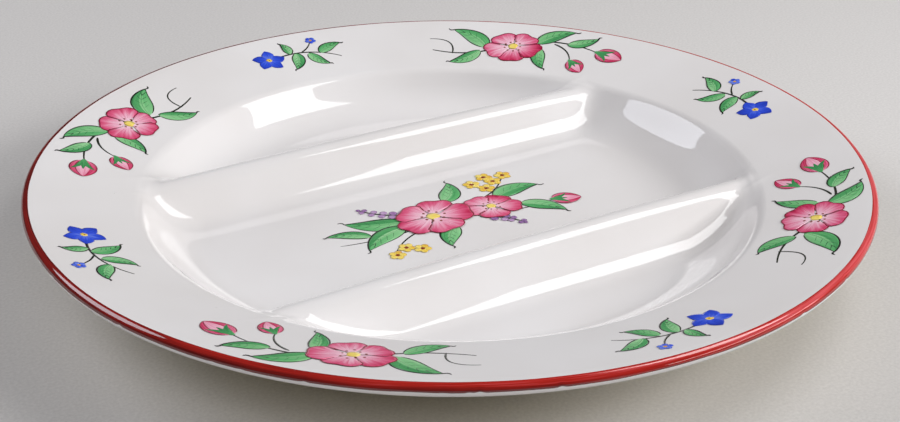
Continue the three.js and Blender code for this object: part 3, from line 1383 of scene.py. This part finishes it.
@dataclass(frozen=True)
class Bud:
    """A closed bud of three petals in a green cup."""

    foot: Point
    tip: Point
    width: float
    rows: int = 20
    petal_bulges: tuple[float, ...] = (0.16, -0.16, 0.0)
    petal_tones: tuple[Load, ...] = (Load.MIDDLE, Load.MIDDLE, Load.FAINT)
    petal_blend: float = 0.35
    outline_foot: int = 2
    petal_share: float = 0.62
    petal_fullness: float = 0.8
    cup_leans: tuple[float, ...] = (0.34, -0.34, 0.0)
    cup_root: float = 0.08
    cup_reach: float = 0.55
    cup_bend: float = 0.35
    cup_share: float = 0.26
    cup_fullness: float = 0.7

    def paint(self, brush: Brush) -> None:
        """Lays the petals with their outlines, and then the cup's leaves over their feet.

        Args:
            brush: The brush.
        """
        for bulge, tone in zip(self.petal_bulges, self.petal_tones):
            path = bend_between(self.foot, self.tip, bulge, self.rows)
            plan = brush.blade(path, self.petal_share * self.width, self.petal_fullness)
            brush.lay(plan, Paint.ROSE, tone, self.petal_blend)
            for edge in (0, -1):
                brush.line(plan[self.outline_foot :, edge], Pen.VEIN, Load.FULL, Paint.ROSE)
        foot = np.asarray(self.foot)
        reach = np.asarray(self.tip) - foot
        side = np.array((-reach[1], reach[0]))
        for lean in self.cup_leans:
            end = foot + self.cup_reach * reach + lean * side
            path = bend_between(foot - self.cup_root * reach, end, -self.cup_bend * lean, self.rows)
            plan = brush.blade(path, self.cup_share * self.width, self.cup_fullness)
            brush.lay(plan, Paint.LEAF, Load.MIDDLE, Load.LIGHT)


@dataclass(frozen=True)
class Star:
    """A blue flower of five pointed petals with a yellow heart."""

    centre: Point
    radius: float
    turn: float
    petals: int = 5
    petal_sway: Span = (-0.08, 0.08)
    petal_root: float = 0.08
    petal_bulge: float = 0.06
    petal_share: float = 0.72
    petal_fullness: float = 0.9
    petal_tones: Span = (0.2, 0.4)
    petal_blend: float = 0.4
    rows: int = 20
    vein_foot: int = 2
    vein_tip: int = -3
    heart_share: float = 0.2
    eye_share: float = 0.08

    def paint(self, brush: Brush) -> None:
        """Lays the petals with their veins, and then the heart and its eye.

        Args:
            brush: The brush.
        """
        for number in range(self.petals):
            angle = self.turn + number * FULL_TURN / self.petals + brush.dice.uniform(*self.petal_sway)
            foot = at_angle(self.centre, self.petal_root * self.radius, angle)
            path = bend_between(foot, at_angle(self.centre, self.radius, angle), self.petal_bulge, self.rows)
            plan = brush.blade(path, self.petal_share * self.radius, self.petal_fullness)
            brush.lay(plan, Paint.BLUE, brush.dice.uniform(*self.petal_tones), self.petal_blend)
            brush.line(path[self.vein_foot : self.vein_tip], Pen.VEIN, Load.DARK, Paint.BLUE)
        brush.dot(self.centre, self.heart_share * self.radius, Paint.YELLOW, Load.LIGHT)
        brush.dot(self.centre, self.eye_share * self.radius, Paint.YELLOW, Load.DARK)


@dataclass(frozen=True)
class SmallFlower:
    """A small flower of five dots round a yellow heart."""

    centre: Point
    radius: float
    colour: Paint
    heart: Load
    petals: int = 5
    petal_reach: float = 0.58
    petal_share: float = 0.42
    petal_tones: Span = (0.05, 0.4)
    heart_share: float = 0.26

    def paint(self, brush: Brush) -> None:
        """Dabs the petals and then the heart.

        Args:
            brush: The brush.
        """
        first = brush.dice.uniform(0.0, FULL_TURN)
        for number in range(self.petals):
            angle = first + number * FULL_TURN / self.petals
            place = at_angle(self.centre, self.petal_reach * self.radius, angle)
            tone = brush.dice.uniform(*self.petal_tones)
            brush.dot(place, self.petal_share * self.radius, self.colour, tone)
        brush.dot(self.centre, self.heart_share * self.radius, Paint.YELLOW, self.heart)


@dataclass(frozen=True)
class Spike:
    """A stem with violet florets in pairs, smaller towards its tip."""

    stem: Stem
    pairs: int
    radius: float
    first_pair: float = 0.3
    foot_size: float = 1.15
    size_fall: float = 0.6
    apart: float = 0.95
    tones: Span = (0.1, 0.6)
    tip_share: float = 0.5

    def paint(self, brush: Brush) -> None:
        """Draws the stem and dabs the florets on both sides of it.

        Args:
            brush: The brush.
        """
        self.stem.paint(brush)
        path = self.stem.path()
        for share in np.linspace(self.first_pair, 1.0, self.pairs):
            row = min(round(share * len(path)), len(path) - 2)
            ahead = path[row + 1] - path[row]
            left = np.array((-ahead[1], ahead[0])) / np.linalg.norm(ahead)
            size = self.radius * (self.foot_size - self.size_fall * share)
            for hand in (-self.apart, self.apart):
                brush.dot(path[row] + hand * size * left, size, Paint.VIOLET, brush.dice.uniform(*self.tones))
        brush.dot(self.stem.tip, self.tip_share * self.radius, Paint.VIOLET, Load.MIDDLE)


Motif = tuple[Painted, ...]

# A spray for the rim, about 62 mm long: an open rose, two buds, leaves and a curled tail
ROSE_SPRAY: Motif = (
    Stem((-6.0, 0.5), (-30.5, -3.5), bulge=0.14, pen=Pen.STEM),
    Stem((-6.0, 0.5), (22.0, 2.0), bulge=0.1, pen=Pen.STEM),
    Stem((8.0, 3.0), (15.5, -4.5), bulge=0.12, pen=Pen.BRANCH),
    Stem((-24.0, -5.5), (-31.0, 2.5), bulge=-0.3, pen=Pen.TENDRIL),
    Leaf((-13.0, -2.0), (-23.5, 7.5), width=6.0, bulge=-0.1),
    Leaf((-15.0, -3.5), (-25.0, -10.0), width=4.6, bulge=0.12),
    Leaf((3.0, 2.0), (12.5, 10.5), width=5.4, bulge=0.1),
    Leaf((12.0, 3.5), (20.0, 9.0), width=4.2, bulge=-0.1),
    Leaf((4.0, 0.0), (8.0, -10.5), width=4.6, bulge=-0.1),
    Bud((22.0, 2.0), (31.0, 0.5), width=6.4),
    Bud((15.5, -4.5), (21.5, -9.5), width=5.0),
    Rose((-4.5, -0.5), radius=9.4, squash=0.86, turn=0.2),
)

# A sprig for the rim, about 28 mm long: a blue star flower and leaves on a bent stem
BLUE_SPRIG: Motif = (
    Stem((8.0, 1.0), (-13.5, -3.0), bulge=-0.12, pen=Pen.BRANCH),
    Stem((-2.0, 2.0), (-6.5, 7.0), bulge=0.1, pen=Pen.TENDRIL),
    Leaf((0.0, 2.0), (3.5, -6.0), width=4.0, bulge=-0.1),
    Leaf((-4.0, 1.0), (-8.5, -6.0), width=3.6, bulge=0.12),
    Leaf((-7.5, 0.0), (-15.0, 4.0), width=3.8, bulge=-0.1),
    Leaf((2.0, 2.0), (2.5, 8.0), width=2.8, bulge=0.1),
    Star((9.5, 1.0), radius=5.2, turn=0.5),
    SmallFlower((-6.8, 7.2), radius=1.7, colour=Paint.BLUE, heart=Load.MIDDLE),
)

# The posy in the middle of the well, about 72 mm long: two roses, a bud, leaves and small flowers
MIDDLE_POSY: Motif = (
    Stem((0.0, 0.0), (-35.0, -2.0), bulge=0.08, pen=Pen.STEM),
    Stem((0.0, 0.0), (30.0, -7.0), bulge=-0.1, pen=Pen.STEM),
    Stem((4.0, 2.0), (25.0, 13.0), bulge=-0.12, pen=Pen.BRANCH),
    Stem((-8.0, -4.0), (-24.0, -13.0), bulge=-0.1, pen=Pen.BRANCH),
    Leaf((-12.0, 2.0), (-28.0, 8.5), width=7.0, bulge=0.1),
    Leaf((-14.0, -1.0), (-29.0, -8.0), width=6.4, bulge=-0.1),
    Leaf((2.0, 7.0), (9.0, 17.0), width=6.0, bulge=-0.12),
    Leaf((-2.0, -7.0), (-9.0, -16.5), width=5.6, bulge=-0.1),
    Leaf((16.0, 2.0), (31.0, 3.5), width=6.6, bulge=0.12),
    Leaf((20.0, -4.5), (29.0, -14.0), width=5.6, bulge=0.1),
    Leaf((-25.0, -1.5), (-35.5, 4.0), width=4.0, bulge=-0.1),
    *(SmallFlower(centre, radius=2.6, colour=Paint.YELLOW, heart=Load.DARK)
      for centre in ((17.0, 8.5), (21.0, 11.5), (25.5, 13.5), (20.0, 15.0), (14.5, 12.5))),
    *(SmallFlower(centre, radius=2.4, colour=Paint.YELLOW, heart=Load.DARK)
      for centre in ((-20.0, -11.5), (-16.5, -14.0), (-24.0, -14.0))),
    Spike(Stem((-6.0, 4.0), (-21.0, 14.0), bulge=0.12, pen=Pen.BRANCH), pairs=6, radius=1.3),
    Spike(Stem((6.0, -6.0), (15.0, -15.0), bulge=0.1, pen=Pen.BRANCH), pairs=5, radius=1.2),
    Bud((29.0, -6.8), (37.0, -9.5), width=6.0),
    Rose((12.0, -2.0), radius=8.6, squash=0.8, turn=-0.3),
    Rose((-5.0, 0.5), radius=11.6, squash=0.85, turn=0.2),
)


@dataclass(frozen=True)
class FloorPlace:
    """The middle of the well's floor, where a sheet lies flat."""

    scale: float = 1.12

    def lay(self, plan: np.ndarray) -> np.ndarray:
        """Sets a sheet down at its scale."""
        return plan * self.scale * MM


@dataclass(frozen=True)
class RimPlace:
    """A place on the rim, at an angle round the dish, where a sheet is bent to follow the rim."""

    angle: float
    mirrored: bool
    scale: float = 1.15
    radius: float = 108.7 * MM

    def lay(self, plan: np.ndarray) -> np.ndarray:
        """Bends a sheet: its u runs clockwise round the dish, or the other way if mirrored, and v outwards.

        Args:
            plan: The sheet's points as a grid.

        Returns:
            The places on the ground, with the grid's columns turned round if mirrored, so that it faces up.
        """
        sheet = self.scale * MM * (plan[:, ::-1] if self.mirrored else plan)
        hand = -1.0 if self.mirrored else 1.0
        turn = self.angle - hand * sheet[..., 0] / self.radius
        distance = self.radius + sheet[..., 1]
        return np.stack((distance * np.cos(turn), distance * np.sin(turn)), axis=-1)


@dataclass(frozen=True)
class Film:
    """A stroke laid on the dish: its skin, each vertex's way along and across it, and its load."""

    places: np.ndarray
    quads: np.ndarray
    ways: np.ndarray
    loads: np.ndarray


@dataclass
class PaintedFlowers:
    """All the painted flowers, gathered into one piece for each paint."""

    shape: DishShape
    films: dict[Paint, list[Film]] = field(default_factory=lambda: {paint: [] for paint in Paint})
    thickness: float = 0.012 * MM
    motifs_round: int = 4
    first_spray: float = math.radians(44.3)
    first_sprig: float = math.radians(-0.7)
    spray_seed: int = 20
    sprig_seed: int = 40
    posy_seed: int = 60

    def lay_all(self) -> None:
        """Lays sprays and sprigs by turns round the rim, half of them mirrored, and the posy in the well."""
        for number in range(self.motifs_round):
            turn = number * FULL_TURN / self.motifs_round
            mirrored = number % 2 == 1
            self.lay(ROSE_SPRAY, self.spray_seed + number, RimPlace(self.first_spray + turn, mirrored))
            self.lay(BLUE_SPRIG, self.sprig_seed + number, RimPlace(self.first_sprig + turn, mirrored))
        self.lay(MIDDLE_POSY, self.posy_seed, FloorPlace())

    def lay(self, motif: Motif, seed: int, place: RimPlace | FloorPlace) -> None:
        """Paints a motif on a sheet and lays its strokes on the dish.

        Args:
            motif: The stems, leaves and flowers, the lowest first.
            seed: The seed of the brush's dice.
            place: Where the sheet is laid.
        """
        brush = Brush(seed)
        for part in motif:
            part.paint(brush)
        for stroke in brush.strokes:
            self.films[stroke.paint].append(self.film(stroke, place))

    def film(self, stroke: Stroke, place: RimPlace | FloorPlace) -> Film:
        """Makes a stroke a thin closed film that follows the glaze.

        Its top is the stroke's level above the glaze, its border lies a film's thickness lower, and its under
        side another one.

        Args:
            stroke: The stroke.
            place: Where its sheet is laid.

        Returns:
            The film.
        """
        ground = place.lay(stroke.plan)
        rows, columns = ground.shape[:2]
        glaze = self.shape.height(np.hypot(ground[..., 0], ground[..., 1]))
        border = stroke.level * MM - self.thickness
        lift = np.full((rows, columns), border)
        lift[1:-1, 1:-1] += self.thickness
        top = np.concatenate((ground, (glaze + lift)[..., None]), axis=-1)
        low = np.concatenate((ground, (glaze + border - self.thickness)[..., None]), axis=-1)
        places, quads = closed_sheet(top, low)
        along, across = np.linspace(0.0, 1.0, rows), np.linspace(0.0, 1.0, columns)
        way = np.stack(np.meshgrid(along, across, indexing="ij"), axis=-1)
        ways = np.concatenate((way.reshape(-1, 2), way[1:-1, 1:-1].reshape(-1, 2)))
        loads = np.tile((stroke.tone, stroke.blend, stroke.own), (len(places), 1))
        return Film(places, quads, ways, loads)

    def build(self, finish: PaintFinish) -> bpy.types.Object:
        """Makes the piece that holds all strokes of one paint.

        Args:
            finish: The paint's finish.

        Returns:
            The piece.
        """
        films = self.films[finish.paint]
        slot = finish.paint.value
        starts = np.cumsum([0] + [len(film.places) for film in films])
        quads = np.concatenate([film.quads + start for film, start in zip(films, starts)])
        places = np.concatenate([film.places for film in films])
        ways = np.concatenate([film.ways for film in films])[quads.ravel()]
        loads = np.concatenate([film.loads for film in films])
        piece = new_piece("flowers_" + slot, places, [quads], finish.material())
        layer = piece.data.uv_layers.new(name=BRUSH_MAP)
        layer.uv.foreach_set("vector", ways.astype(np.float32).ravel())
        held = piece.data.attributes.new(STROKE, "FLOAT_VECTOR", "POINT")
        held.data.foreach_set("vector", loads.astype(np.float32).ravel())
        return piece


# The studio

class Front(Enum):
    """The outline of a lamp's bright front."""

    BOX = "RECTANGLE"
    ROUND = "ELLIPSE"


@dataclass(frozen=True)
class Lamp:
    """A soft lamp that looks at the dish. One that isn't mirrored lights the glaze without a highlight."""

    name: str
    place: tuple[float, float, float]
    width: float
    height: float
    power: float
    aim: tuple[float, float, float] = (0.0, 0.0, 0.0)
    spin: float = 0.0
    front: Front = Front.BOX
    mirrored: bool = True
    colour: Colour = (255, 255, 255)

    def build(self) -> None:
        """Places the lamp, turns it to its aim and spins it about that line."""
        data = bpy.data.lights.new(self.name, "AREA")
        data.shape = self.front.value
        data.size = self.width
        data.size_y = self.height
        data.energy = self.power
        data.color = linear(self.colour)[:3]
        lamp = bpy.data.objects.new(self.name, data)
        lamp.location = self.place
        lamp.visible_glossy = self.mirrored
        sight = Vector(self.aim) - Vector(self.place)
        turn = sight.to_track_quat("-Z", "Y") @ Quaternion((0.0, 0.0, 1.0), self.spin)
        lamp.rotation_euler = turn.to_euler()
        bpy.context.scene.collection.objects.link(lamp)


@dataclass(frozen=True)
class Studio:
    """The pale floor, the soft light and the camera."""

    floor_half: float = 4.0
    floor_colour: Colour = (199, 196, 194)
    floor_paler: Colour = (211, 208, 206)
    floor_roughness: float = 0.9
    grains_per_metre: float = 1100.0
    grain_detail: float = 3.0
    grain_low: float = 0.3
    grain_high: float = 0.7
    sky_colour: Colour = (255, 254, 254)
    sky_strength: float = 0.05
    lens: float = 59.09
    camera_target: tuple[float, float, float] = (-18.63 * MM, -31.39 * MM, 26.6 * MM)
    camera_back: tuple[float, float, float] = (-0.4573, -0.7690, 0.4467)
    camera_distance: float = 411.15 * MM
    camera_roll: float = math.radians(0.156)
    lamps: tuple[Lamp, ...] = (
        Lamp("key_soft_box", (0.319, -0.092, 0.486), width=0.232, height=0.274, power=0.9,
             aim=(-0.040, -0.143, 0.0), spin=math.radians(110.3)),
        Lamp("side_reflector", (-0.778, 0.968, 0.962), width=0.762, height=1.038, power=7.1,
             aim=(-0.079, 0.157, 0.0), spin=math.radians(-104.6), front=Front.ROUND, colour=(242, 245, 255)),
        Lamp("low_strip", (1.337, -1.337, 0.651), width=1.7, height=0.15, power=4.4),
        Lamp("right_panel", (1.557, -0.899, 0.877), width=0.96, height=0.63, power=31.5, mirrored=False),
        Lamp("fill_panel", (-1.0, -1.0, 1.414), width=2.8, height=0.8, power=12.9, mirrored=False),
        Lamp("back_panel", (-0.899, 1.557, 0.877), width=0.96, height=0.63, power=6.7, mirrored=False),
    )

    def lay_floor(self) -> None:
        """Lays a wide flat floor with a faint grain under the dish."""
        material, graph = new_material("studio_floor")
        grain = graph.noise(graph.place(), self.grains_per_metre, self.grain_detail)
        colour = graph.ramp(grain, ((self.grain_low, self.floor_colour), (self.grain_high, self.floor_paler)))
        graph.surface({"Base Color": colour, "Roughness": self.floor_roughness})
        half = self.floor_half
        corners = [(-half, -half, 0.0), (half, -half, 0.0), (half, half, 0.0), (-half, half, 0.0)]
        mesh = bpy.data.meshes.new("studio_floor")
        mesh.from_pydata(corners, [], [(0, 1, 2, 3)])
        mesh.materials.append(material)
        floor = bpy.data.objects.new("studio_floor", mesh)
        bpy.context.scene.collection.objects.link(floor)

    def light(self) -> None:
        """Sets the even light of the room and places the lamps."""
        world = bpy.data.worlds.new("studio")
        world.use_nodes = True
        graph = NodeGraph(world.node_tree)
        inputs = {"Color": linear(self.sky_colour), "Strength": self.sky_strength}
        sky = graph.add("ShaderNodeBackground", inputs)
        graph.add("ShaderNodeOutputWorld", {"Surface": sky.outputs[0]})
        bpy.context.scene.world = world
        for lamp in self.lamps:
            lamp.build()

    def place_camera(self) -> None:
        """Sets the camera back from its target, level but for a small roll."""
        data = bpy.data.cameras.new("camera")
        data.lens = self.lens
        back = Vector(self.camera_back).normalized()
        level = Vector((0.0, 0.0, 1.0)).cross(back).normalized()
        right = level * math.cos(self.camera_roll) + back.cross(level) * math.sin(self.camera_roll)
        turn = Matrix((right, back.cross(right), back)).transposed()
        camera = bpy.data.objects.new("camera", data)
        place = Vector(self.camera_target) + back * self.camera_distance
        camera.matrix_world = Matrix.Translation(place) @ turn.to_4x4()
        bpy.context.scene.collection.objects.link(camera)
        bpy.context.scene.camera = camera


def main() -> None:
    """Builds the dish and its studio, and reports each piece."""
    logging.basicConfig(level=logging.INFO, format="%(message)s")
    bpy.context.scene.view_settings.view_transform = "Standard"
    studio = Studio()
    studio.place_camera()
    studio.lay_floor()
    studio.light()

    shape = DishShape.from_model()
    glaze = GlazeFinish().material()
    flowers = PaintedFlowers(shape)
    flowers.lay_all()
    pieces = [
        GlazedBody(shape, glaze).build(),
        Ridge(shape, glaze, "back_divider", side=1.0).build(),
        Ridge(shape, glaze, "front_divider", side=-1.0).build(),
        FootRing(shape, ClayFinish().material()).build(),
        EdgeBand(shape, BandFinish(shape.radius).material()).build(),
        *(flowers.build(finish) for finish in PAINT_FINISHES),
    ]
    for piece in pieces:
        LOG.info("%s: %d faces", piece.name, len(piece.data.polygons))


if __name__ == "__main__":
    main()
